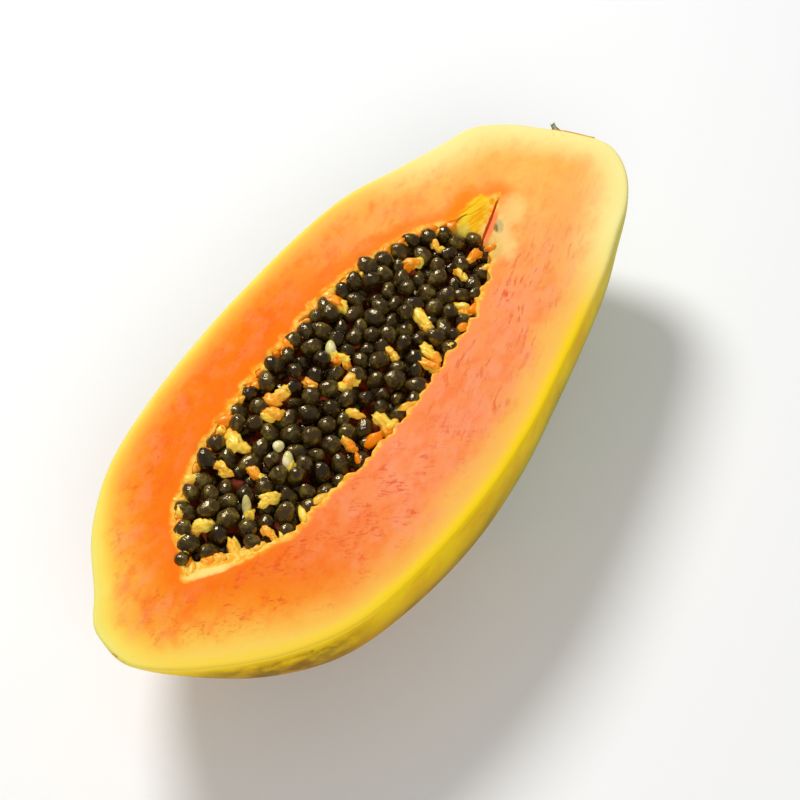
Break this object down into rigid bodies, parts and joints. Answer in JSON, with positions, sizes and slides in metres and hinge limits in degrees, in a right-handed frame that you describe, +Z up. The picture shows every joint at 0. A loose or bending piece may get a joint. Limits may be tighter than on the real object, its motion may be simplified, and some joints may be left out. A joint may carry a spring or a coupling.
{
  "type": "half papaya",
  "caption": "Ripe papaya cut lengthwise in half, lying on its rounded back with the cut face up, dark seeds packed in its long cavity and a stalk remnant at one end",
  "frame": {"origin": "on the surface that the fruit lies on, under the middle of its bounding box", "axes": "+X along the fruit from the blossom tip to the stalk end; +Z up, square to the level cut face; +Y across the fruit, towards the side where the flesh is thinner"},
  "size_m": [0.2445, 0.1054, 0.0545],
  "materials": {
    "flesh": "moist orange flesh, yellow at the skin, with a thin waxy yellow to green skin",
    "seed": "wet, glossy and slightly wrinkled",
    "stalk": "dry and fibrous"
  },
  "bodies": {
    "root": {"half_fruit": "flesh", "seeds": "seed", "stalk_stub": "stalk"}
  },
  "joints": []
}
